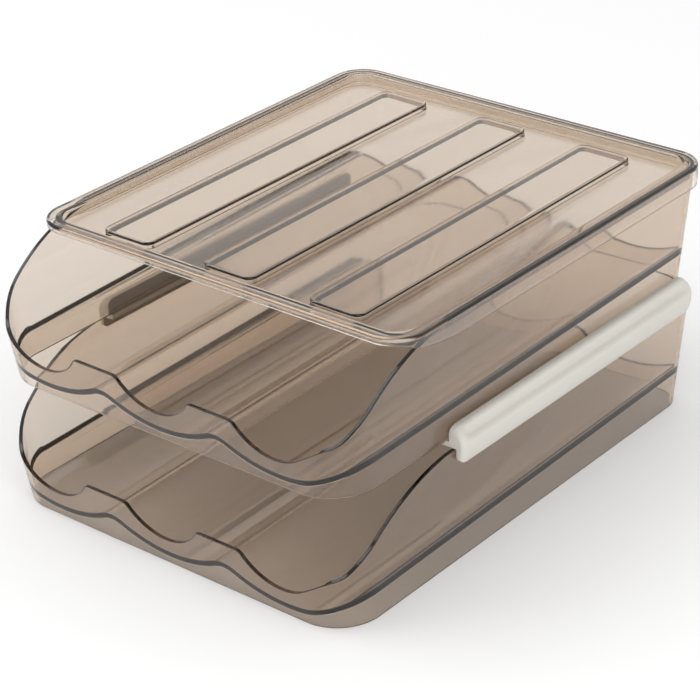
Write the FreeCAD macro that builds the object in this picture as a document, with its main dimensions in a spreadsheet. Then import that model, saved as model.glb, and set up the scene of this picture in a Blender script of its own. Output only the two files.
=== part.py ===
import FreeCAD, Part
import Sketcher
import math
import os

# Two-tier clear box with an open, scalloped front, a lift-off lid and two white joining rails.
# Millimetres, +Z up. The front is at -Y and the origin is at the middle of the footprint, on the floor.

Vector = FreeCAD.Vector
doc = FreeCAD.newDocument("egg_box")

sheet = doc.addObject("Spreadsheet::Sheet", "Sizes")
driving_sizes = [
    # lid
    ("lid_width", 232.0),
    ("lid_depth", 253.4),
    ("lid_rim_height", 2.4),
    ("lid_rim_width", 8.0),
    ("lid_rim_round", 1.4),
    ("panel_drop", 4.6),
    ("panel_thickness", 2.0),
    ("plug_clearance", 0.6),
    ("pad_width", 31.5),
    ("pad_front_margin", 4.8),
    ("pad_back_margin", 11.2),
    ("pad_pitch", 65.1),
    ("pad_height", 3.3),
    ("pad_corner", 5.0),
    ("pad_round", 0.8),
    ("skirt_wall", 1.5),
    ("skirt_clearance", 0.5),
    ("skirt_depth", 8.8),
    ("skirt_front_depth", 1.6),
    ("skirt_sweep", 50.0),
    ("skirt_sweep_radius", 145.0),
    ("skirt_sweep_sag", 0.4),
    # walls of one tier
    ("wall_height", 66.0),
    ("wall_thickness", 2.2),
    ("wall_draft", 4.8),
    ("back_corner", 15.4),
    ("front_corner_base", 24.0),
    ("front_corner_top", 30.0),
    ("lip_reach", 42.7),
    ("front_lean", 5.4),
    # floor of one tier
    ("floor_thickness", 2.4),
    ("floor_height", 6.4),
    ("floor_rise", 5.6),
    ("channel_pitch", 72.6),
    ("channel_depth", 8.6),
    ("ridge_radius", 15.0),
    # front lip and swept side edges of one tier
    ("lip_trough_height", 15.0),
    ("lip_crest_height", 28.4),
    ("lip_trough_radius", 25.9),
    ("lip_crest_corner", 4.0),
    ("lip_flank_angle", 31.5),
    ("swoop_toe_height", 26.0),
    ("swoop_length", 86.0),
    ("swoop_foot_radius", 15.4),
    ("swoop_crown", 0.5),
    # joining rails
    ("rail_length", 197.0),
    ("rail_setback", 17.0),
    ("rail_web", 2.8),
    ("rail_web_overlap", 1.0),
    ("rail_clearance", 0.5),
    ("rail_wall", 2.4),
    ("rail_reach", 5.2),
    ("rail_above", 7.8),
    ("rail_below", 7.6),
    ("rail_nose_height", 2.0),
    ("rail_top_flat", 2.6),
    ("rail_foot_flat", 2.5),
    ("rail_scoop_radius", 4.0),
    ("rail_scoop_offset", 0.45),
    ("rail_scoop_rise", 6.9),
    ("rail_scoop_margin", 5.0),
    ("rail_end_round", 6.0),
    ("rail_top_corner", 5.5),
    ("rail_foot_corner", 5.0),
    # how far cutting shapes run past what they cut, and how close an edge lies to the height it is found by
    ("overrun", 10.0),
    ("edge_match", 0.01),
]
for row, (alias, number) in enumerate(driving_sizes, start=1):
    sheet.set("A%d" % row, alias)
    sheet.set("B%d" % row, str(number))
    sheet.setAlias("B%d" % row, alias)
doc.recompute()


class Size:
    pass


size = Size()
for alias, number in driving_sizes:
    setattr(size, alias, float(sheet.get(alias)))


def spell(text):
    # puts the sheet's name before every alias in a formula
    words = []
    for word in text.replace("(", "( ").replace(")", " )").split():
        words.append("Sizes." + word if hasattr(size, word) else word)
    return " ".join(words)


def bind(thing, place, text):
    thing.setExpression(place, spell(text))


# Places that several pieces share, as formulas of the driving sizes.
front_edge = "( lid_depth + lip_reach ) / 2"
rim_half = "( lid_width / 2 - skirt_wall - skirt_clearance )"
rim_back = "( ( lid_depth + lip_reach ) / 2 - skirt_wall - skirt_clearance )"
base_half = "( lid_width / 2 - skirt_wall - skirt_clearance - wall_draft )"
base_back = "( ( lid_depth + lip_reach ) / 2 - skirt_wall - skirt_clearance - wall_draft )"
base_front = "( ( lid_depth + lip_reach ) / 2 - front_lean )"
rim_front = "( ( lid_depth + lip_reach ) / 2 - front_lean + front_lean * wall_height / lip_crest_height )"
lid_front = "( ( lid_depth - lip_reach ) / 2 )"
lid_corner = "( back_corner + skirt_clearance + skirt_wall )"
channel_ridge = "( ( channel_pitch ^ 2 / 4 + channel_depth ^ 2 ) / ( 2 * channel_depth ) )"
channel_radius = "( " + channel_ridge + " - ridge_radius )"

# The same places as numbers, from which the sketches start.
half_depth = (size.lid_depth + size.lip_reach) / 2
rim_half_now = size.lid_width / 2 - size.skirt_wall - size.skirt_clearance
rim_back_now = half_depth - size.skirt_wall - size.skirt_clearance
base_half_now = rim_half_now - size.wall_draft
base_back_now = rim_back_now - size.wall_draft
base_front_now = half_depth - size.front_lean
rim_front_now = base_front_now + size.front_lean * size.wall_height / size.lip_crest_height
channel_ridge_now = (size.channel_pitch ** 2 / 4 + size.channel_depth ** 2) / (2 * size.channel_depth)
channel_radius_now = channel_ridge_now - size.ridge_radius
lid_front_now = (size.lid_depth - size.lip_reach) / 2
lid_corner_now = size.back_corner + size.skirt_clearance + size.skirt_wall


def new_body(name):
    body = doc.addObject("PartDesign::Body", name)
    body.Label = name
    return body


def new_sketch(body, name, role, lift=None):
    # a sketch on one of the body's own planes, lifted along the plane's normal
    plane = [feature for feature in body.Origin.OriginFeatures if feature.Role == role][0]
    sketch = body.newObject("Sketcher::SketchObject", name)
    sketch.AttachmentSupport = [(plane, "")]
    sketch.MapMode = "FlatFace"
    if lift is not None:
        bind(sketch, "AttachmentOffset.Base.z", lift)
    return sketch


def hold(sketch, kind, where, start, text):
    # one dimension of a sketch, bound to the sheet
    index = sketch.addConstraint(Sketcher.Constraint(kind, *where, start))
    bind(sketch, "Constraints[%d]" % index, text)


def tie(sketch, kind, *where):
    sketch.addConstraint(Sketcher.Constraint(kind, *where))


def line(sketch, start, end):
    return sketch.addGeometry(Part.LineSegment(Vector(*start, 0), Vector(*end, 0)))


def arc(sketch, centre, radius, first, last):
    # an arc drawn counter-clockwise between two angles in radians
    circle = Part.Circle(Vector(*centre, 0), Vector(0, 0, 1), radius)
    return sketch.addGeometry(Part.ArcOfCircle(circle, first, last))


def rounded_outline(sketch, half, front, back, front_round, back_round, numbers):
    # a rounded rectangle, centred on X, with its own radius at the front and at the back corners
    wide, near, far, near_r, far_r = numbers
    quarter = math.pi / 2
    front_line = line(sketch, (-wide + near_r, -near), (wide - near_r, -near))
    front_right = arc(sketch, (wide - near_r, -near + near_r), near_r, -quarter, 0)
    right_line = line(sketch, (wide, -near + near_r), (wide, far - far_r))
    back_right = arc(sketch, (wide - far_r, far - far_r), far_r, 0, quarter)
    back_line = line(sketch, (wide - far_r, far), (-wide + far_r, far))
    back_left = arc(sketch, (-wide + far_r, far - far_r), far_r, quarter, 2 * quarter)
    left_line = line(sketch, (-wide, far - far_r), (-wide, -near + near_r))
    front_left = arc(sketch, (-wide + near_r, -near + near_r), near_r, 2 * quarter, 3 * quarter)
    ring = [front_line, front_right, right_line, back_right, back_line, back_left, left_line, front_left]
    for index, edge in enumerate(ring):
        tie(sketch, "Tangent", edge, 2, ring[(index + 1) % len(ring)], 1)
    tie(sketch, "Horizontal", front_line)
    tie(sketch, "Horizontal", back_line)
    tie(sketch, "Vertical", right_line)
    tie(sketch, "Vertical", left_line)
    tie(sketch, "Equal", front_right, front_left)
    tie(sketch, "Equal", back_right, back_left)
    hold(sketch, "Radius", (front_right,), near_r, front_round)
    hold(sketch, "Radius", (back_right,), far_r, back_round)
    hold(sketch, "DistanceX", (-1, 1, right_line, 1), wide, half)
    hold(sketch, "DistanceX", (left_line, 1, -1, 1), wide, half)
    hold(sketch, "DistanceY", (front_line, 1, -1, 1), near, front)
    hold(sketch, "DistanceY", (-1, 1, back_line, 1), far, back)


def tier_outline(body, name, inset, inset_now, at_rim):
    # the plan of a tier's wall at the base or at the rim, drawn in by an inset
    sketch = new_sketch(body, name, "XY_Plane", "wall_height" if at_rim else None)
    half, front, back = (rim_half, rim_front, rim_back) if at_rim else (base_half, base_front, base_back)
    front_round = "front_corner_top" if at_rim else "front_corner_base"
    numbers = (
        (rim_half_now if at_rim else base_half_now) - inset_now,
        (rim_front_now if at_rim else base_front_now) - inset_now,
        (rim_back_now if at_rim else base_back_now) - inset_now,
        (size.front_corner_top if at_rim else size.front_corner_base) - inset_now,
        size.back_corner - inset_now,
    )
    formulas = [text + " - " + inset for text in (half, front, back, front_round, "back_corner")]
    rounded_outline(sketch, *formulas, numbers)
    return sketch


def tier_loft(body, kind, name, inset, inset_now):
    base = tier_outline(body, name + "_base", inset, inset_now, False)
    rim = tier_outline(body, name + "_rim", inset, inset_now, True)
    loft = body.newObject("PartDesign::" + kind, name)
    loft.Profile = base
    loft.Sections = [rim]
    loft.Ruled = True
    return loft


def make_walls():
    # the drafted wall of a tier, open at the top and at the bottom
    body = new_body("tier_walls")
    tier_loft(body, "AdditiveLoft", "wall_outside", "0", 0)
    tier_loft(body, "SubtractiveLoft", "wall_inside", "wall_thickness", size.wall_thickness)
    return body


def make_envelope():
    # the middle of the wall's thickness, where the floor ends
    body = new_body("floor_envelope")
    tier_loft(body, "AdditiveLoft", "wall_middle", "wall_thickness / 2", size.wall_thickness / 2)
    return body


def floor_chain(sketch, drop, drop_now, edge):
    # one face of the floor sheet: three round channels joined by two round ridges
    half_pitch = size.channel_pitch / 2
    lean = math.asin(half_pitch / channel_ridge_now)
    channel_r = channel_radius_now + drop_now
    ridge_r = size.ridge_radius - drop_now
    level = size.floor_height + size.floor_rise + channel_radius_now
    ridge_level = level - channel_ridge_now * math.cos(lean)
    down = -math.pi / 2
    reach = math.asin((edge - size.channel_pitch) / channel_r)
    left = arc(sketch, (-size.channel_pitch, level), channel_r, down - reach, down + lean)
    ridge_left = arc(sketch, (-half_pitch, ridge_level), ridge_r, -down - lean, -down + lean)
    middle = arc(sketch, (0, level), channel_r, down - lean, down + lean)
    ridge_right = arc(sketch, (half_pitch, ridge_level), ridge_r, -down - lean, -down + lean)
    right = arc(sketch, (size.channel_pitch, level), channel_r, down - lean, down + reach)
    for ridge, before, after in ((ridge_left, left, middle), (ridge_right, middle, right)):
        tie(sketch, "Tangent", before, 2, ridge, 2)
        tie(sketch, "Tangent", ridge, 1, after, 1)
        hold(sketch, "Radius", (ridge,), ridge_r, "ridge_radius - " + drop)
    hold(sketch, "Radius", (middle,), channel_r, channel_radius + " + " + drop)
    tie(sketch, "Equal", middle, left)
    tie(sketch, "Equal", middle, right)
    return left, middle, right


def make_floor():
    # the sloping three-channel floor, wider than the tier and trimmed to its walls later
    body = new_body("floor_sheet")
    sketch = new_sketch(body, "floor_section", "XZ_Plane")
    sketch.AttachmentOffset = FreeCAD.Placement(Vector(0, 0, 0), FreeCAD.Rotation(Vector(1, 0, 0), 1))
    bind(sketch, "AttachmentOffset.Base.z", "- " + rim_back)
    slope_text = "atan( floor_rise / ( " + base_front + " + " + rim_back + " ) )"
    bind(sketch, "AttachmentOffset.Rotation.Angle", slope_text)
    edge = rim_half_now
    top = floor_chain(sketch, "0", 0, edge)
    under = floor_chain(sketch, "floor_thickness", size.floor_thickness, edge)
    level_text = "floor_height + floor_rise + " + channel_radius
    level = size.floor_height + size.floor_rise + channel_radius_now
    for upper, lower in zip(top, under):
        tie(sketch, "Coincident", upper, 3, lower, 3)
        hold(sketch, "DistanceY", (-1, 1, upper, 3), level, level_text)
    hold(sketch, "DistanceX", (top[0], 3, -1, 1), size.channel_pitch, "channel_pitch")
    tie(sketch, "PointOnObject", top[1], 3, -2)
    hold(sketch, "DistanceX", (-1, 1, top[2], 3), size.channel_pitch, "channel_pitch")
    for side, index, spot in ((-1, 0, 1), (1, 2, 2)):
        ends = []
        for radius in (channel_radius_now, channel_radius_now + size.floor_thickness):
            rise = math.sqrt(radius ** 2 - (edge - size.channel_pitch) ** 2)
            ends.append((side * edge, level - rise))
        closing = line(sketch, ends[0], ends[1])
        tie(sketch, "Coincident", closing, 1, top[index], spot)
        tie(sketch, "Coincident", closing, 2, under[index], spot)
        tie(sketch, "Vertical", closing)
        where = (-1, 1, closing, 1) if side > 0 else (closing, 1, -1, 1)
        hold(sketch, "DistanceX", where, edge, rim_half)
    sheet_pad = body.newObject("PartDesign::Pad", "floor_run")
    sheet_pad.Profile = sketch
    bind(sheet_pad, "Length", rim_front + " + " + rim_back + " + overrun")
    return body


def make_lip_cut():
    # what is cut away above the scalloped front lip: three round troughs, two flat crests, two flanks
    body = new_body("lip_cut")
    sketch = new_sketch(body, "lip_section", "XZ_Plane", front_edge + " - front_corner_base")
    trough_r = size.lip_trough_radius
    corner_r = size.lip_crest_corner
    pitch = size.channel_pitch
    level = size.lip_trough_height + trough_r
    crest = size.lip_crest_height
    top = size.wall_height + size.overrun
    side = pitch + trough_r
    down = -math.pi / 2
    lean = math.acos((level - crest + corner_r) / (trough_r + corner_r))
    flank = math.radians(size.lip_flank_angle)
    spread = (trough_r + corner_r) * math.sin(lean)
    troughs = []
    for index, first, last in ((-1, flank, lean), (0, lean, lean), (1, lean, flank)):
        troughs.append(arc(sketch, (index * pitch, level), trough_r, down - first, down + last))
    for index in (0, 1):
        start = (index - 1) * pitch + spread
        end = index * pitch - spread
        rising = arc(sketch, (start, crest - corner_r), corner_r, -down, -down + lean)
        flat = line(sketch, (start, crest), (end, crest))
        falling = arc(sketch, (end, crest - corner_r), corner_r, -down - lean, -down)
        tie(sketch, "Tangent", troughs[index], 2, rising, 2)
        tie(sketch, "Tangent", rising, 1, flat, 1)
        tie(sketch, "Tangent", flat, 2, falling, 2)
        tie(sketch, "Tangent", falling, 1, troughs[index + 1], 1)
        hold(sketch, "Radius", (rising,), corner_r, "lip_crest_corner")
        hold(sketch, "Radius", (falling,), corner_r, "lip_crest_corner")
        hold(sketch, "DistanceY", (-1, 1, flat, 1), crest, "lip_crest_height")
        tie(sketch, "Horizontal", flat)
    foot = (pitch + trough_r * math.sin(flank), level - trough_r * math.cos(flank))
    shoulder = foot[1] + (side - foot[0]) * math.tan(flank)
    right_flank = line(sketch, foot, (side, shoulder))
    right_side = line(sketch, (side, shoulder), (side, top))
    roof = line(sketch, (side, top), (-side, top))
    left_side = line(sketch, (-side, top), (-side, shoulder))
    left_flank = line(sketch, (-side, shoulder), (-foot[0], foot[1]))
    tie(sketch, "Tangent", troughs[2], 2, right_flank, 1)
    tie(sketch, "Coincident", right_flank, 2, right_side, 1)
    tie(sketch, "Coincident", right_side, 2, roof, 1)
    tie(sketch, "Coincident", roof, 2, left_side, 1)
    tie(sketch, "Coincident", left_side, 2, left_flank, 1)
    tie(sketch, "Tangent", left_flank, 2, troughs[0], 1)
    tie(sketch, "Vertical", right_side)
    tie(sketch, "Vertical", left_side)
    tie(sketch, "Horizontal", roof)
    tie(sketch, "Symmetric", left_flank, 1, right_flank, 2, -2)
    hold(sketch, "Angle", (right_flank,), flank, "lip_flank_angle * 1 deg")
    hold(sketch, "DistanceX", (-1, 1, right_side, 1), side, "channel_pitch + lip_trough_radius")
    hold(sketch, "DistanceY", (-1, 1, roof, 1), top, "wall_height + overrun")
    hold(sketch, "Radius", (troughs[1],), trough_r, "lip_trough_radius")
    tie(sketch, "Equal", troughs[1], troughs[0])
    tie(sketch, "Equal", troughs[1], troughs[2])
    for trough in troughs:
        hold(sketch, "DistanceY", (-1, 1, trough, 3), level, "lip_trough_height + lip_trough_radius")
    hold(sketch, "DistanceX", (troughs[0], 3, -1, 1), pitch, "channel_pitch")
    tie(sketch, "PointOnObject", troughs[1], 3, -2)
    hold(sketch, "DistanceX", (-1, 1, troughs[2], 3), pitch, "channel_pitch")
    cut_pad = body.newObject("PartDesign::Pad", "lip_run")
    cut_pad.Profile = sketch
    bind(cut_pad, "Length", "front_corner_base + overrun")
    return body


def make_swoop_cut():
    # what is cut away above the swept front edge of the right wall: a hollow foot arc, then a round shoulder
    body = new_body("swoop_cut")
    sketch = new_sketch(body, "swoop_section", "YZ_Plane", "channel_pitch + lip_trough_radius")
    foot_r = size.swoop_foot_radius
    rise = size.wall_height + size.swoop_crown - size.swoop_toe_height
    turn = 2 * math.atan(rise / size.swoop_length)
    shoulder_r = size.swoop_length / math.sin(turn) - foot_r
    toe = (-half_depth, size.swoop_toe_height)
    crown = (-half_depth + size.swoop_length, size.wall_height + size.swoop_crown)
    roof = size.wall_height + size.overrun
    ahead = -half_depth - size.overrun
    down = -math.pi / 2
    ground = line(sketch, (ahead, toe[1]), toe)
    foot = arc(sketch, (toe[0], toe[1] + foot_r), foot_r, down, down + turn)
    shoulder = arc(sketch, (crown[0], crown[1] - shoulder_r), shoulder_r, -down, -down + turn)
    back = line(sketch, crown, (crown[0], roof))
    lid_line = line(sketch, (crown[0], roof), (ahead, roof))
    front = line(sketch, (ahead, roof), (ahead, toe[1]))
    tie(sketch, "Tangent", ground, 2, foot, 1)
    tie(sketch, "Tangent", foot, 2, shoulder, 2)
    tie(sketch, "Coincident", shoulder, 1, back, 1)
    tie(sketch, "Coincident", back, 2, lid_line, 1)
    tie(sketch, "Coincident", lid_line, 2, front, 1)
    tie(sketch, "Coincident", front, 2, ground, 1)
    tie(sketch, "Horizontal", ground)
    tie(sketch, "Vertical", back)
    tie(sketch, "Horizontal", lid_line)
    tie(sketch, "Vertical", front)
    tie(sketch, "Vertical", shoulder, 3, shoulder, 1)
    hold(sketch, "Radius", (foot,), foot_r, "swoop_foot_radius")
    hold(sketch, "DistanceX", (foot, 1, -1, 1), half_depth, front_edge)
    hold(sketch, "DistanceY", (-1, 1, foot, 1), toe[1], "swoop_toe_height")
    hold(sketch, "DistanceX", (foot, 1, shoulder, 1), size.swoop_length, "swoop_length")
    hold(sketch, "DistanceY", (-1, 1, shoulder, 1), crown[1], "wall_height + swoop_crown")
    hold(sketch, "DistanceY", (-1, 1, lid_line, 1), roof, "wall_height + overrun")
    hold(sketch, "DistanceX", (front, 1, foot, 1), size.overrun, "overrun")
    cut_pad = body.newObject("PartDesign::Pad", "swoop_run")
    cut_pad.Profile = sketch
    bind(cut_pad, "Length", rim_half + " + overrun - channel_pitch - lip_trough_radius")
    return body


def combine(kind, name, base, tool):
    result = doc.addObject("Part::" + kind, name)
    result.Base = base
    result.Tool = tool
    result.Label = name
    return result


def make_tiers():
    # both tiers are the same moulding: the second stands on the rails' webs above the first
    floor = combine("Common", "floor_trimmed", make_floor(), make_envelope())
    tub = combine("Fuse", "tub", make_walls(), floor)
    scalloped = combine("Cut", "scalloped_tub", tub, make_lip_cut())
    right_cut = make_swoop_cut()
    left_cut = doc.addObject("Part::Mirroring", "swoop_cut_left")
    left_cut.Source = right_cut
    left_cut.Base = Vector(0, 0, 0)
    left_cut.Normal = Vector(1, 0, 0)
    half_swept = combine("Cut", "half_swept_tub", scalloped, right_cut)
    lower = combine("Cut", "lower_box", half_swept, left_cut)
    upper = combine("Cut", "upper_box", half_swept, left_cut)
    bind(upper, "Placement.Base.z", "wall_height + rail_web")
    return [lower, upper]


def edge_names(shape, test):
    return ["Edge%d" % (index + 1) for index, edge in enumerate(shape.Edges) if test(edge)]


def level_edges(shape, height, half):
    # edges that lie at one height, in the loop that reaches out to a half width
    near = size.edge_match

    def inside(edge):
        box = edge.BoundBox
        flat = abs(box.ZMin - height) < near and abs(box.ZMax - height) < near
        return flat and max(abs(box.XMin), abs(box.XMax)) < half + near
    return edge_names(shape, inside)


def make_lid():
    # rim that seats on the tier's wall at height zero, skirt outside it, plug and panel inside it
    body = new_body("lid")
    recess_half = "( lid_width / 2 - lid_rim_width )"
    recess_back = "( ( lid_depth + lip_reach ) / 2 - lid_rim_width )"
    recess_front = "( ( lid_depth - lip_reach ) / 2 - lid_rim_width )"
    recess_corner = "( back_corner + skirt_clearance + skirt_wall - lid_rim_width )"
    recess_now = [size.lid_width / 2, lid_front_now, half_depth, lid_corner_now, lid_corner_now]
    recess_now = [number - size.lid_rim_width for number in recess_now]
    outside_now = (size.lid_width / 2, lid_front_now, half_depth, lid_corner_now, lid_corner_now)
    outside = ("lid_width / 2", lid_front, front_edge, lid_corner, lid_corner)

    sketch = new_sketch(body, "lid_outline", "XY_Plane", "- skirt_depth")
    rounded_outline(sketch, *outside, outside_now)
    block = body.newObject("PartDesign::Pad", "lid_block")
    block.Profile = sketch
    bind(block, "Length", "skirt_depth + lid_rim_height")

    sketch = new_sketch(body, "skirt_outline", "XY_Plane")
    skirt = [text + " - skirt_wall" for text in outside]
    rounded_outline(sketch, *skirt, [number - size.skirt_wall for number in outside_now])
    hollow = body.newObject("PartDesign::Pocket", "skirt_hollow")
    hollow.Profile = sketch
    bind(hollow, "Length", "skirt_depth + overrun")

    sketch = new_sketch(body, "plug_outline", "XY_Plane")
    gap = size.skirt_wall + size.skirt_clearance + size.wall_thickness + size.plug_clearance
    gap_text = " - skirt_wall - skirt_clearance - wall_thickness - plug_clearance"
    rounded_outline(sketch, *[text + gap_text for text in outside], [number - gap for number in outside_now])
    plug = body.newObject("PartDesign::Pad", "plug")
    plug.Profile = sketch
    plug.Reversed = True
    bind(plug, "Length", "panel_drop + panel_thickness - lid_rim_height")

    sketch = new_sketch(body, "recess_outline", "XY_Plane", "lid_rim_height")
    recess = (recess_half, recess_front, recess_back, recess_corner, recess_corner)
    rounded_outline(sketch, *recess, recess_now)
    sunk = body.newObject("PartDesign::Pocket", "recess")
    sunk.Profile = sketch
    bind(sunk, "Length", "panel_drop")

    pad_front = "( " + recess_front + " - pad_front_margin )"
    pad_back = "( " + recess_back + " - pad_back_margin )"
    for index, name in ((-1, "left"), (0, "middle"), (1, "right")):
        sketch = new_sketch(body, "pad_outline_" + name, "XY_Plane", "lid_rim_height - panel_drop")
        pad_now = [size.pad_width / 2, recess_now[1] - size.pad_front_margin,
                   recess_now[2] - size.pad_back_margin, size.pad_corner, size.pad_corner]
        bind(sketch, "AttachmentOffset.Base.x", "pad_pitch * %d" % index)
        rounded_outline(sketch, "pad_width / 2", pad_front, pad_back, "pad_corner", "pad_corner", pad_now)
        raised = body.newObject("PartDesign::Pad", "pad_" + name)
        raised.Profile = sketch
        bind(raised, "Length", "pad_height")
        sketch = new_sketch(body, "pad_hollow_outline_" + name, "XY_Plane",
                            "lid_rim_height - panel_drop - panel_thickness")
        bind(sketch, "AttachmentOffset.Base.x", "pad_pitch * %d" % index)
        inner = [text + " - panel_thickness" for text in ("pad_width / 2", pad_front, pad_back,
                                                           "pad_corner", "pad_corner")]
        rounded_outline(sketch, *inner, [number - size.panel_thickness for number in pad_now])
        under = body.newObject("PartDesign::Pocket", "pad_hollow_" + name)
        under.Profile = sketch
        under.Reversed = True
        bind(under, "Length", "pad_height")

    sketch = new_sketch(body, "skirt_sweep_section", "YZ_Plane")
    radius = size.skirt_sweep_radius
    low = -size.skirt_depth - size.skirt_sweep_sag
    far = -lid_front_now + size.skirt_sweep
    high = -size.skirt_front_depth
    turn = math.acos(1 - (high - low) / radius)
    ahead = -lid_front_now - size.overrun
    base = low - size.overrun
    down = -math.pi / 2
    ground = line(sketch, (ahead, high), (far - radius * math.sin(turn), high))
    sweep = arc(sketch, (far, low + radius), radius, down - turn, down)
    fall = line(sketch, (far, low), (far, base))
    under_line = line(sketch, (far, base), (ahead, base))
    front = line(sketch, (ahead, base), (ahead, high))
    tie(sketch, "Coincident", ground, 2, sweep, 1)
    tie(sketch, "Coincident", sweep, 2, fall, 1)
    tie(sketch, "Coincident", fall, 2, under_line, 1)
    tie(sketch, "Coincident", under_line, 2, front, 1)
    tie(sketch, "Coincident", front, 2, ground, 1)
    tie(sketch, "Horizontal", ground)
    tie(sketch, "Horizontal", under_line)
    tie(sketch, "Vertical", fall)
    tie(sketch, "Vertical", front)
    tie(sketch, "Vertical", sweep, 3, sweep, 2)
    hold(sketch, "Radius", (sweep,), radius, "skirt_sweep_radius")
    hold(sketch, "DistanceX", (sweep, 2, -1, 1), -far, lid_front + " - skirt_sweep")
    hold(sketch, "DistanceY", (sweep, 2, -1, 1), -low, "skirt_depth + skirt_sweep_sag")
    hold(sketch, "DistanceY", (ground, 1, -1, 1), -high, "skirt_front_depth")
    hold(sketch, "DistanceY", (fall, 2, fall, 1), size.overrun, "overrun")
    hold(sketch, "DistanceX", (ground, 1, -1, 1), -ahead, lid_front + " + overrun")
    swept = body.newObject("PartDesign::Pocket", "skirt_sweep_cut")
    swept.Profile = sketch
    swept.Midplane = True
    bind(swept, "Length", "lid_width + overrun")
    doc.recompute()

    top_edges = level_edges(swept.Shape, size.lid_rim_height, size.lid_width)
    rim_round = body.newObject("PartDesign::Fillet", "rim_round")
    rim_round.Base = (swept, top_edges)
    bind(rim_round, "Radius", "lid_rim_round")
    doc.recompute()
    pad_top = size.lid_rim_height - size.panel_drop + size.pad_height
    pad_edges = level_edges(rim_round.Shape, pad_top, size.lid_width)
    pads_round = body.newObject("PartDesign::Fillet", "pads_round")
    pads_round.Base = (rim_round, pad_edges)
    bind(pads_round, "Radius", "pad_round")
    bind(body, "Placement.Base.z", "2 * wall_height + rail_web")
    return [body]


def corner_cut(sketch, corner, corner_text, way, radius, radius_text):
    # what rounds one corner of an outline: a square less a quarter disc
    inner = (corner[0] - way[0] * radius, corner[1] - way[1] * radius)
    across = line(sketch, (inner[0], corner[1]), corner)
    along = line(sketch, corner, (corner[0], inner[1]))
    first = ((1, 1), (-1, 1), (-1, -1), (1, -1)).index(way) * math.pi / 2
    rounding = arc(sketch, inner, radius, first, first + math.pi / 2)
    spots = (1, 2) if way[0] == way[1] else (2, 1)
    tie(sketch, "Coincident", across, 2, along, 1)
    tie(sketch, "Tangent", along, 2, rounding, spots[0])
    tie(sketch, "Tangent", rounding, spots[1], across, 1)
    tie(sketch, "Horizontal", across)
    tie(sketch, "Vertical", along)
    hold(sketch, "Radius", (rounding,), radius, radius_text)
    for kind, place, text in zip(("DistanceX", "DistanceY"), corner, corner_text):
        where = (-1, 1, along, 1) if place > 0 else (along, 1, -1, 1)
        hold(sketch, kind, where, abs(place), text)


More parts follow.
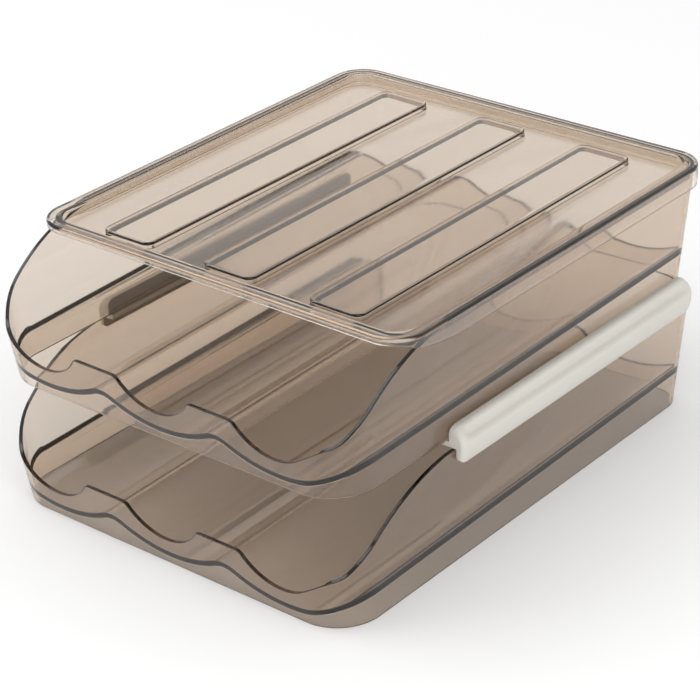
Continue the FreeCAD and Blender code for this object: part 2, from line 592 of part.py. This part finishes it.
def make_rail(name, turned):
    # a bulging bar with a finger scoop along it, a web between the tiers and a hollow behind
    body = new_body(name)
    sketch = new_sketch(body, name + "_section", "XZ_Plane")
    web_end = base_half_now - size.wall_thickness - size.rail_web_overlap
    web_end_text = base_half + " - wall_thickness - rail_web_overlap"
    lower_in = rim_half_now + size.rail_clearance
    lower_in_text = rim_half + " + rail_clearance"
    lean = size.wall_draft * size.rail_above / size.wall_height
    upper_in = base_half_now + lean + size.rail_clearance
    upper_in_text = base_half + " + wall_draft * rail_above / wall_height + rail_clearance"
    outer = rim_half_now + size.rail_reach
    outer_text = rim_half + " + rail_reach"
    seat = size.wall_height
    roof = seat + size.rail_web
    roof_text = "wall_height + rail_web"
    nose = seat + size.rail_nose_height
    nose_text = "wall_height + rail_nose_height"
    top = roof + size.rail_above
    top_text = roof_text + " + rail_above"
    foot = seat - size.rail_below
    foot_text = "wall_height - rail_below"

    def bulge(start, end):
        # an arc upward through two points, upright at the nose's height
        near, far = (end, start) if end[1] == nose else (start, end)
        run = near[0] - far[0]
        radius = (run ** 2 + (near[1] - far[1]) ** 2) / (2 * run)
        centre = (near[0] - radius, nose)
        first = math.atan2(start[1] - nose, start[0] - centre[0])
        last = math.atan2(end[1] - nose, end[0] - centre[0])
        return arc(sketch, centre, radius, first, last)

    corners = [(web_end, seat), (lower_in, seat), (lower_in, foot), (lower_in + size.rail_foot_flat, foot)]
    web_under = line(sketch, corners[0], corners[1])
    lower_face = line(sketch, corners[1], corners[2])
    foot_line = line(sketch, corners[2], corners[3])
    lower_bulge = bulge(corners[3], (outer, nose))
    shoulder = (upper_in + size.rail_top_flat, top)
    upper_bulge = bulge((outer, nose), shoulder)
    top_line = line(sketch, shoulder, (upper_in, top))
    upper_face = line(sketch, (upper_in, top), (upper_in, roof))
    web_top = line(sketch, (upper_in, roof), (web_end, roof))
    web_edge = line(sketch, (web_end, roof), corners[0])
    ring = [web_under, lower_face, foot_line, lower_bulge, upper_bulge,
            top_line, upper_face, web_top, web_edge]
    for index, edge in enumerate(ring):
        tie(sketch, "Coincident", edge, 2, ring[(index + 1) % len(ring)], 1)
    for edge in (web_under, foot_line, top_line, web_top):
        tie(sketch, "Horizontal", edge)
    for edge in (lower_face, upper_face, web_edge):
        tie(sketch, "Vertical", edge)
    tie(sketch, "Horizontal", lower_bulge, 3, lower_bulge, 2)
    tie(sketch, "Horizontal", upper_bulge, 3, upper_bulge, 1)
    hold(sketch, "DistanceX", (-1, 1, web_under, 1), web_end, web_end_text)
    hold(sketch, "DistanceX", (-1, 1, lower_face, 1), lower_in, lower_in_text)
    hold(sketch, "DistanceX", (-1, 1, upper_face, 1), upper_in, upper_in_text)
    hold(sketch, "DistanceX", (foot_line, 1, foot_line, 2), size.rail_foot_flat, "rail_foot_flat")
    hold(sketch, "DistanceX", (top_line, 2, top_line, 1), size.rail_top_flat, "rail_top_flat")
    hold(sketch, "DistanceX", (-1, 1, lower_bulge, 2), outer, outer_text)
    hold(sketch, "DistanceY", (-1, 1, web_under, 1), seat, "wall_height")
    hold(sketch, "DistanceY", (-1, 1, web_top, 1), roof, roof_text)
    hold(sketch, "DistanceY", (-1, 1, lower_bulge, 2), nose, nose_text)
    hold(sketch, "DistanceY", (-1, 1, top_line, 1), top, top_text)
    hold(sketch, "DistanceY", (-1, 1, foot_line, 1), foot, foot_text)
    bar = body.newObject("PartDesign::Pad", name + "_bar")
    bar.Profile = sketch
    bar.Midplane = True
    bind(bar, "Length", "rail_length")

    sketch = new_sketch(body, name + "_hollow_section", "XZ_Plane")
    inner = upper_in + size.rail_top_flat
    roof_z = top - size.rail_wall
    start = upper_in - size.rail_clearance
    ring = [line(sketch, (start, roof), (inner, roof)), line(sketch, (inner, roof), (inner, roof_z)),
            line(sketch, (inner, roof_z), (start, roof_z)), line(sketch, (start, roof_z), (start, roof))]
    for index, edge in enumerate(ring):
        tie(sketch, "Coincident", edge, 2, ring[(index + 1) % len(ring)], 1)
        tie(sketch, "Vertical" if index % 2 else "Horizontal", edge)
    hold(sketch, "DistanceX", (-1, 1, ring[1], 1), inner, upper_in_text + " + rail_top_flat")
    hold(sketch, "DistanceX", (-1, 1, ring[3], 1), start, upper_in_text + " - rail_clearance")
    hold(sketch, "DistanceY", (-1, 1, ring[0], 1), roof, roof_text)
    hold(sketch, "DistanceY", (-1, 1, ring[2], 1), roof_z, top_text + " - rail_wall")
    hollow = body.newObject("PartDesign::Pocket", name + "_hollow")
    hollow.Profile = sketch
    hollow.Midplane = True
    bind(hollow, "Length", "rail_length - 2 * rail_wall")

    sketch = new_sketch(body, name + "_scoop_section", "XZ_Plane")
    scoop_x = outer + size.rail_scoop_offset
    scoop_z = nose + size.rail_scoop_rise
    round_cut = Part.Circle(Vector(scoop_x, scoop_z, 0), Vector(0, 0, 1), size.rail_scoop_radius)
    circle = sketch.addGeometry(round_cut)
    hold(sketch, "Radius", (circle,), size.rail_scoop_radius, "rail_scoop_radius")
    hold(sketch, "DistanceX", (-1, 1, circle, 3), scoop_x, outer_text + " + rail_scoop_offset")
    hold(sketch, "DistanceY", (-1, 1, circle, 3), scoop_z, nose_text + " + rail_scoop_rise")
    scoop = body.newObject("PartDesign::Pocket", name + "_scoop")
    scoop.Profile = sketch
    scoop.Midplane = True
    bind(scoop, "Length", "rail_length - 2 * rail_scoop_margin")

    edge = outer + size.rail_clearance
    edge_text = outer_text + " + rail_clearance"
    end = size.rail_length / 2
    end_text = "rail_length / 2"
    sketch = new_sketch(body, name + "_end_outline", "XY_Plane")
    for way in (-1, 1):
        corner_cut(sketch, (edge, way * end), (edge_text, end_text), (1, way),
                   size.rail_end_round, "rail_end_round")
    ends = body.newObject("PartDesign::Pocket", name + "_end_round")
    ends.Profile = sketch
    ends.Reversed = True
    bind(ends, "Length", top_text + " + overrun")

    sketch = new_sketch(body, name + "_side_outline", "YZ_Plane")
    for way in (-1, 1):
        corner_cut(sketch, (way * end, top), (end_text, top_text), (way, 1),
                   size.rail_top_corner, "rail_top_corner")
        corner_cut(sketch, (way * end, foot), (end_text, foot_text), (way, -1),
                   size.rail_foot_corner, "rail_foot_corner")
    sides = body.newObject("PartDesign::Pocket", name + "_side_round")
    sides.Profile = sketch
    sides.Reversed = True
    bind(sides, "Length", outer_text + " + overrun")
    if turned:
        body.Placement = FreeCAD.Placement(Vector(0, 0, 0), FreeCAD.Rotation(Vector(0, 0, 1), 180))
    bind(body, "Placement.Base.y", front_edge + " - rail_setback - rail_length / 2")
    return [body]


pieces = make_tiers() + make_lid() + make_rail("right_rail", False) + make_rail("left_rail", True)
doc.recompute()

for item in doc.Objects:
    if "Invalid" in item.State or "Error" in item.State:
        raise RuntimeError("failed: %s %s" % (item.Label, item.State))
for piece in pieces:
    if piece.Shape.isNull() or not piece.Shape.isValid():
        raise RuntimeError("bad shape: " + piece.Label)
    if len(piece.Shape.Solids) != 1:
        raise RuntimeError("not one solid: " + piece.Label)

os.makedirs("parts", exist_ok=True)
for piece in pieces:
    piece.Shape.exportStep("parts/" + piece.Label + ".step")
    box = piece.Shape.BoundBox
    print("%-12s %8.1f mm3  x %.2f..%.2f  y %.2f..%.2f  z %.2f..%.2f" % (
        piece.Label, piece.Shape.Volume, box.XMin, box.XMax, box.YMin, box.YMax, box.ZMin, box.ZMax))
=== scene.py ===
import math
import bmesh
import bpy
from mathutils import Matrix, Vector


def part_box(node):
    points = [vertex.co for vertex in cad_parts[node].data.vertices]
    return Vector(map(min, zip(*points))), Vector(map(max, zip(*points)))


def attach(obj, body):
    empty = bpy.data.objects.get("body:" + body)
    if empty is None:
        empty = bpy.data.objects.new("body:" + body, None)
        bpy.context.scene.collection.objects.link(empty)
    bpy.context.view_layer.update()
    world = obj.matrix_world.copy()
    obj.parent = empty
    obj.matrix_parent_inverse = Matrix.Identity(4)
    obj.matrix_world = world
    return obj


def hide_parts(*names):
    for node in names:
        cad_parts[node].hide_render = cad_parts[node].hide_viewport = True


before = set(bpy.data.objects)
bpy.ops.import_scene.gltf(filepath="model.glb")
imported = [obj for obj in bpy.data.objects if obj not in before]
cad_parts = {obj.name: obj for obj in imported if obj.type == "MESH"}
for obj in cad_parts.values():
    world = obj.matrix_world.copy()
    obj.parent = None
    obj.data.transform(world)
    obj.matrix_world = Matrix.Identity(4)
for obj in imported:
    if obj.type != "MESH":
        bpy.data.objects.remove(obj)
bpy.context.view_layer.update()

mm = 0.001
mergeMm = 0.002                # points closer than this become one
print("frame loaded:", sorted(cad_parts))


def toLinear(hexText):  # an sRGB hex value as linear colour, by the standard's own curve
    parts = [int(hexText[i:i + 2], 16) / 255 for i in (1, 3, 5)]
    return [p / 12.92 if p <= 0.04045 else ((p + 0.055) / 1.055) ** 2.4 for p in parts] + [1.0]


def addNode(tree, kind, settings=None, links=None):  # sockets go by name, or by number where names repeat
    node = tree.nodes.new(kind)
    for name, value in (settings or {}).items():
        if isinstance(name, int) or name in node.inputs:
            node.inputs[name].default_value = value
        else:
            setattr(node, name, value)
    for name, socket in (links or {}).items():
        tree.links.new(socket, node.inputs[name])
    return node


def newMaterial(name):
    material = bpy.data.materials.new(name)
    material.use_nodes = True
    material.node_tree.nodes.clear()
    return material, material.node_tree


def newPiece(node, shape, material, sharpAbove):  # a bmesh as a smooth object that keeps its sharp edges
    mesh = bpy.data.meshes.new(node + "_moulding")
    shape.to_mesh(mesh)
    shape.free()
    normals = mesh.attributes.get("custom_normal")
    if normals:  # the CAD's own normals don't suit the merged copy
        mesh.attributes.remove(normals)
    mesh.materials.append(material)
    mesh.shade_smooth()
    mesh.set_sharp_from_angle(angle=math.radians(sharpAbove))
    piece = bpy.data.objects.new(node + "_moulding", mesh)
    bpy.context.scene.collection.objects.link(piece)
    return piece


# Smoke-tinted clear PET, injection moulded in a polished tool:
# glassy, and dark where one looks along the wall.
smokeLook = {
    "name": "smoke PET, polished moulding",
    "tint": "#FDFBF8",
    "ior": 1.57,
    "absorbs": "#C0923C",      # what the thickness lets through
    "absorbPerMetre": 165.0,
    "flowMm": 38.0,            # slow waviness from the melt's flow
    "flowDetail": 1.5,
    "flowDeepMm": 0.05,
    "flowStrength": 0.5,
    "grainMm": 2.4,            # hairline scuffs, drawn coarse enough to show
    "grainDetail": 5.0,
    "grainRange": (0.35, 0.7),  # the part of the noise that the roughness uses
    "roughLow": 0.015,
    "roughHigh": 0.06,
}
lidLook = dict(smokeLook, name="smoke PET, thin polished lid", absorbPerMetre=85.0)  # lighter


def smokePlastic(look):
    material, tree = newMaterial(look["name"])
    place = addNode(tree, "ShaderNodeTexCoord")
    flow = addNode(tree, "ShaderNodeTexNoise",
                   {"Scale": 1 / (look["flowMm"] * mm), "Detail": look["flowDetail"]},
                   {"Vector": place.outputs["Object"]})
    grain = addNode(tree, "ShaderNodeTexNoise",
                    {"Scale": 1 / (look["grainMm"] * mm), "Detail": look["grainDetail"]},
                    {"Vector": place.outputs["Object"]})
    rough = addNode(tree, "ShaderNodeMapRange",
                    {"From Min": look["grainRange"][0], "From Max": look["grainRange"][1],
                     "To Min": look["roughLow"], "To Max": look["roughHigh"]},
                    {"Value": grain.outputs["Fac"]})
    bump = addNode(tree, "ShaderNodeBump",
                   {"Strength": look["flowStrength"], "Distance": look["flowDeepMm"] * mm},
                   {"Height": flow.outputs["Fac"]})
    surface = addNode(tree, "ShaderNodeBsdfPrincipled",
                      {"Base Color": toLinear(look["tint"]), "IOR": look["ior"],
                       "Transmission Weight": 1.0},
                      {"Roughness": rough.outputs["Result"], "Normal": bump.outputs["Normal"]})
    inside = addNode(tree, "ShaderNodeVolumeAbsorption",
                     {"Color": toLinear(look["absorbs"]), "Density": look["absorbPerMetre"]})
    addNode(tree, "ShaderNodeOutputMaterial", None,
            {"Surface": surface.outputs["BSDF"], "Volume": inside.outputs["Volume"]})
    return material


# White ABS with a fine spark-eroded grain: soft, broad highlights and a warm off-white body.
railLook = {
    "name": "white ABS, fine spark grain",
    "body": "#DFDCD4",
    "shade": "#D4D0C6",        # slightly yellower patches
    "patchMm": 45.0,
    "patchDetail": 3.0,
    "grainMm": 0.9,            # real grain is about 0.1 mm, drawn coarser so that it shows
    "grainDetail": 2.0,
    "grainDeepMm": 0.02,
    "grainStrength": 0.6,
    "grainRange": (0.3, 0.7),
    "roughLow": 0.34,
    "roughHigh": 0.48,
    "ior": 1.53,
}


def railPlastic(look):
    material, tree = newMaterial(look["name"])
    place = addNode(tree, "ShaderNodeTexCoord")
    patch = addNode(tree, "ShaderNodeTexNoise",
                    {"Scale": 1 / (look["patchMm"] * mm), "Detail": look["patchDetail"]},
                    {"Vector": place.outputs["Object"]})
    grain = addNode(tree, "ShaderNodeTexNoise",
                    {"Scale": 1 / (look["grainMm"] * mm), "Detail": look["grainDetail"]},
                    {"Vector": place.outputs["Object"]})
    colour = addNode(tree, "ShaderNodeMix",  # 6 and 7 are its two colours, and 2 is what comes out
                     {"data_type": "RGBA", 6: toLinear(look["body"]), 7: toLinear(look["shade"])},
                     {"Factor": patch.outputs["Fac"]})
    rough = addNode(tree, "ShaderNodeMapRange",
                    {"From Min": look["grainRange"][0], "From Max": look["grainRange"][1],
                     "To Min": look["roughLow"], "To Max": look["roughHigh"]},
                    {"Value": grain.outputs["Fac"]})
    bump = addNode(tree, "ShaderNodeBump",
                   {"Strength": look["grainStrength"], "Distance": look["grainDeepMm"] * mm},
                   {"Height": grain.outputs["Fac"]})
    surface = addNode(tree, "ShaderNodeBsdfPrincipled", {"IOR": look["ior"]},
                      {"Base Color": colour.outputs[2], "Roughness": rough.outputs["Result"],
                       "Normal": bump.outputs["Normal"]})
    addNode(tree, "ShaderNodeOutputMaterial", None, {"Surface": surface.outputs["BSDF"]})
    return material


# Each clear moulding is the CAD shape with its sharp edges rounded, as a polished tool leaves them.
mouldings = {
    "lower_box": {"body": "lower_tier", "slot": "smoke_plastic", "edgeMm": 0.6},
    "upper_box": {"body": "upper_tier", "slot": "smoke_plastic", "edgeMm": 0.6},
    "lid": {"body": "lid", "slot": "smoke_plastic", "edgeMm": 0.35},
}
mouldingEdges = {              # angles in degrees
    "flatWithin": 0.3,         # triangles as flat as this to each other become one face
    "sharpAbove": 28.0,
    "roundAbove": 45.0,        # only edges with more of a turn are rounded
    "roundSteps": 3,
}


def roundedMoulding(node, look, edges, material):
    shape = bmesh.new()
    shape.from_mesh(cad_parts[node].data)
    bmesh.ops.remove_doubles(shape, verts=shape.verts, dist=mergeMm * mm)
    bmesh.ops.dissolve_limit(shape, angle_limit=math.radians(edges["flatWithin"]),
                             verts=shape.verts, edges=shape.edges)
    piece = newPiece(node, shape, material, edges["sharpAbove"])
    rounding = piece.modifiers.new("edge", "BEVEL")
    rounding.width = look["edgeMm"] * mm
    rounding.segments = edges["roundSteps"]
    rounding.limit_method = "ANGLE"
    rounding.angle_limit = math.radians(edges["roundAbove"])
    rounding.harden_normals = True
    rounding.use_clamp_overlap = False  # one short edge would shrink the rounding everywhere
    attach(piece, look["body"])
    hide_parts(node)


boxPlastic = smokePlastic(smokeLook)
lidPlastic = smokePlastic(lidLook)
for node, look in mouldings.items():
    roundedMoulding(node, look, mouldingEdges, lidPlastic if node == "lid" else boxPlastic)
print("mouldings dressed:", len(mouldings))


# The joining rails are swept along the box, so that the finger scoop is soft and fades out before the ends.
rails = {
    "right_rail": {"body": "rail_right", "side": 1},
    "left_rail": {"body": "rail_left", "side": -1},
}
railShape = {
    "noseMm": 9.6,             # heights from the foot: the nose, and the seat of the web
    "seatMm": 7.6,
    "webMm": 2.8,
    "lipMm": 2.4,              # lip over the hollow behind
    "upperInMm": 8.93,         # depths from the nose inward
    "lowerInMm": 4.7,
    "topFlatMm": 2.6,
    "footFlatMm": 2.5,
    "scoopMm": 2.3,
    "scoopAngle": 36.0,        # where the scoop sits on the upper bulge, and how far it spreads each way
    "scoopSpread": 29.0,
    "fadeMm": (1.5, 9.0),      # from the end: no scoop, full scoop
    "hollowMm": (2.2, 2.8),    # from the end: no hollow, full hollow
    "endMm": 4.5,              # how far the end's rounding reaches along the rail
    "endInMm": (2.6, 3.8, 3.6),  # and how much it takes off the nose, the top and the foot
    "edgeMm": 0.45,
    "edgeSteps": 3,
    "lowerPoints": 14,         # points on the two bulges
    "upperPoints": 40,
    "endSteps": 15,            # sections over the end's rounding
    "fadePlacesMm": (6.0, 7.5, 9.0, 20.0),  # more sections, from the end
    "middleParts": 8,          # the length is cut into these for the sections between
    "sharpAbove": 35.0,
}


def smoothStep(low, high, value):
    share = min(max((value - low) / (high - low), 0), 1)
    return share * share * (3 - 2 * share)


def easedCorner(before, corner, after, reach, steps):  # points that round one corner of an outline
    ends = []
    for other in (before, after):
        gap = math.dist(other, corner)
        share = min(reach / gap, 0.5) if gap > 0 else 0  # never past the middle of a side
        ends.append([c + (o - c) * share for c, o in zip(corner, other)])
    eased = []
    for t in (step / steps for step in range(steps + 1)):
        start, bend, stop = (1 - t) ** 2, 2 * t * (1 - t), t * t
        eased.append(tuple(start * a + bend * b + stop * c for a, b, c in zip(ends[0], corner, ends[1])))
    return eased


def railSection(look, height, past):  # outline in mm, x below 0 inward from the nose and z up from the foot
    nose, seat = look["noseMm"], look["seatMm"]
    roof, lip = seat + look["webMm"], height - look["lipMm"]
    upperIn, lowerIn, webEnd = -look["upperInMm"], -look["lowerInMm"], look["webEnd"]
    scoop = look["scoopMm"] * smoothStep(*look["fadeMm"], past)
    back = upperIn + look["topFlatMm"] * smoothStep(*look["hollowMm"], past)
    lowerBulge = (lowerIn + look["footFlatMm"], -nose, look["lowerPoints"])
    upperBulge = (upperIn + look["topFlatMm"], height - nose, look["upperPoints"])
    points = []
    for run, rise, count in (lowerBulge, upperBulge):
        radius = (run * run + rise * rise) / (-2 * run)
        sweep = math.asin(rise / radius)
        for step in range(count):
            angle = sweep * (1 - step / count) if rise < 0 else sweep * step / (count - 1)
            reach = radius
            off = (math.degrees(angle) - look["scoopAngle"]) / look["scoopSpread"]
            if rise > 0 and abs(off) < 1:
                reach -= scoop * math.cos(off * math.pi / 2) ** 2
            points.append((reach * math.cos(angle) - radius, nose + reach * math.sin(angle)))
    bulges = len(points)  # the two bulges are smooth, all other corners are eased
    points += [(upperIn, height), (upperIn, lip), (back, lip), (back, roof),
               (webEnd, roof), (webEnd, seat), (lowerIn, seat), (lowerIn, 0)]
    eased = []
    for index, point in enumerate(points):
        if 0 < index < bulges - 1:
            eased.append(point)
        else:
            after = points[(index + 1) % len(points)]
            eased += easedCorner(points[index - 1], point, after, look["edgeMm"], look["edgeSteps"])
    curve = 1 - math.sqrt(1 - (1 - min(past / look["endMm"], 1)) ** 2)  # quarter ellipse at the end
    noseIn, topIn, footIn = (amount * curve for amount in look["endInMm"])
    shaped = []
    for x, z in eased:
        base = lowerIn if z < seat else upperIn
        if x > base:
            x = base + (x - base) * (noseIn + base) / base
        if z > roof:
            z = roof + (z - roof) * (height - topIn - roof) / (height - roof)
        elif z < seat:
            z = seat - (seat - z) * (seat - footIn) / seat
        shaped.append((x, z))
    return shaped


def railPlaces(look, length):  # where the sections stand along the rail, close together at the ends
    steps, parts = look["endSteps"], look["middleParts"]
    near = [look["endMm"] * (1 - math.cos(step * math.pi / (2 * steps))) for step in range(steps + 1)]
    near += [*look["hollowMm"], *look["fadePlacesMm"]]
    middle = [length * step / parts for step in range(2, parts - 1)]
    return sorted(set(near + [length - place for place in near] + middle))


def sweptRail(node, look, shape, material):
    low, high = (Vector(corner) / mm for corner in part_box(node))
    side, length = look["side"], high.y - low.y
    outer = high.x if side > 0 else -low.x
    shape = dict(shape, webEnd=-(high.x - low.x))
    solid = bmesh.new()
    end = None
    for place in railPlaces(shape, length):
        along = low.y + place if side > 0 else high.y - place
        section = railSection(shape, high.z - low.z, min(place, length - place))
        ring = [Vector((side * (outer + x), along, low.z + z)) * mm for x, z in section]
        if end is None:
            end = solid.faces.new([solid.verts.new(point) for point in ring])
            continue
        grown = bmesh.ops.extrude_face_region(solid, geom=[end, *end.edges])["geom"]
        end = next(part for part in grown if isinstance(part, bmesh.types.BMFace))
        for vert, point in zip(end.verts, ring):  # the new end takes its own section
            vert.co = point
    bmesh.ops.remove_doubles(solid, verts=solid.verts, dist=mergeMm * mm)
    bmesh.ops.recalc_face_normals(solid, faces=solid.faces)
    piece = newPiece(node, solid, material, shape["sharpAbove"])
    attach(piece, look["body"])
    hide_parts(node)


whitePlastic = railPlastic(railLook)
for node, look in rails.items():
    sweptRail(node, look, railShape, whitePlastic)
print("rails swept:", len(rails))


# Studio: a white floor, a pale surround and two soft lamps.
studio = {
    "floorSize": 12.0,
    "floorColour": "#F6F6F6",
    "floorGlow": 0.11,         # only where it is seen, lifts the floor to white and keeps the shadow
    "skyColour": "#FFFFFF",
    "backdrop": 1.0,           # what the camera sees behind the floor
    "surround": 0.76,          # what lights the box from all sides
    "dimRoom": 0.18,           # the room on the camera's side, mirrored in the edges
    "brightRoom": 0.8,
    "brightSide": (-0.45, 0.55, 1.0),  # up and behind the box it is brighter
    "roomFade": (-0.1, 0.6),   # where along that direction it is dim, and where bright
    "lampsAim": (0, 0, 0.07),
    "keyWatts": 8.0,
    "keySize": 1.2,
    "keyFrom": (-0.9, -0.6, 1.6),
    "fillWatts": 11.0,
    "fillSize": 1.6,
    "fillFrom": (1.4, -1.0, 1.1),
}


def seenBy(tree, kinds):  # 1 for rays of these kinds, 0 for all others
    path = addNode(tree, "ShaderNodeLightPath")
    socket = path.outputs[kinds[0]]
    for kind in kinds[1:]:
        either = addNode(tree, "ShaderNodeMath", {"operation": "MAXIMUM"},
                         {0: socket, 1: path.outputs[kind]})
        socket = either.outputs[0]
    return socket


def layFloor(look):
    shape = bmesh.new()
    bmesh.ops.create_grid(shape, x_segments=1, y_segments=1, size=look["floorSize"] / 2)
    mesh = bpy.data.meshes.new("floor")
    shape.to_mesh(mesh)
    shape.free()
    material, tree = newMaterial("white floor paper")
    paper = addNode(tree, "ShaderNodeBsdfDiffuse", {"Color": toLinear(look["floorColour"])})
    strength = addNode(tree, "ShaderNodeMath", {"operation": "MULTIPLY", 1: look["floorGlow"]},
                       {0: seenBy(tree, ["Is Camera Ray", "Is Glossy Ray", "Is Transmission Ray"])})
    glow = addNode(tree, "ShaderNodeEmission", None, {"Strength": strength.outputs[0]})
    total = addNode(tree, "ShaderNodeAddShader", None, {0: paper.outputs[0], 1: glow.outputs[0]})
    addNode(tree, "ShaderNodeOutputMaterial", None, {"Surface": total.outputs[0]})
    mesh.materials.append(material)
    floor = bpy.data.objects.new("floor", mesh)
    bpy.context.scene.collection.objects.link(floor)


def lightRoom(look):
    world = bpy.data.worlds.new("studio")
    bpy.context.scene.world = world
    world.use_nodes = True
    tree = world.node_tree
    tree.nodes.clear()
    place = addNode(tree, "ShaderNodeTexCoord")
    facing = addNode(tree, "ShaderNodeVectorMath", {"operation": "DOT_PRODUCT", 1: look["brightSide"]},
                     {0: place.outputs["Generated"]})
    room = addNode(tree, "ShaderNodeMapRange",
                   {"From Min": look["roomFade"][0], "From Max": look["roomFade"][1],
                    "To Min": look["dimRoom"], "To Max": look["brightRoom"]},
                   {"Value": facing.outputs["Value"]})
    mirrored = addNode(tree, "ShaderNodeMapRange", {"To Min": look["surround"]},
                       {"Value": seenBy(tree, ["Is Glossy Ray", "Is Transmission Ray"]),
                        "To Max": room.outputs["Result"]})
    level = addNode(tree, "ShaderNodeMapRange", {"To Max": look["backdrop"]},
                    {"Value": seenBy(tree, ["Is Camera Ray"]), "To Min": mirrored.outputs["Result"]})
    sky = addNode(tree, "ShaderNodeBackground", {"Color": toLinear(look["skyColour"])},
                  {"Strength": level.outputs["Result"]})
    addNode(tree, "ShaderNodeOutputWorld", None, {"Surface": sky.outputs[0]})


def hangLamps(look):
    for name in ("key", "fill"):
        lamp = bpy.data.lights.new(name, "AREA")
        lamp.energy = look[name + "Watts"]
        lamp.size = look[name + "Size"]
        holder = bpy.data.objects.new(name, lamp)
        holder.location = look[name + "From"]
        aim = Vector(look["lampsAim"]) - holder.location
        holder.rotation_euler = aim.to_track_quat("-Z", "Y").to_euler()
        bpy.context.scene.collection.objects.link(holder)


layFloor(studio)
lightRoom(studio)
hangLamps(studio)
print("studio lit")


# The photograph's view: from the front right, above, through a long lens.
view = {
    "from": (0.7034, -0.8357, 0.6288),
    "azimuth": 40.22,
    "elevation": 27.73,
    "roll": -2.08,
    "lens": 124.7,
    "sensor": 36.0,
}


def placeCamera(look):
    camera = bpy.data.cameras.new("camera")
    camera.lens = look["lens"]
    camera.sensor_width = look["sensor"]
    holder = bpy.data.objects.new("camera", camera)
    turn = Matrix.Rotation(math.radians(look["azimuth"]), 4, "Z")
    tilt = Matrix.Rotation(math.radians(90 - look["elevation"]), 4, "X")
    roll = Matrix.Rotation(math.radians(look["roll"]), 4, "Z")
    holder.matrix_world = Matrix.Translation(look["from"]) @ turn @ tilt @ roll
    bpy.context.scene.collection.objects.link(holder)
    bpy.context.scene.camera = holder


placeCamera(view)
bpy.context.scene.view_settings.view_transform = "Standard"
print("camera set")
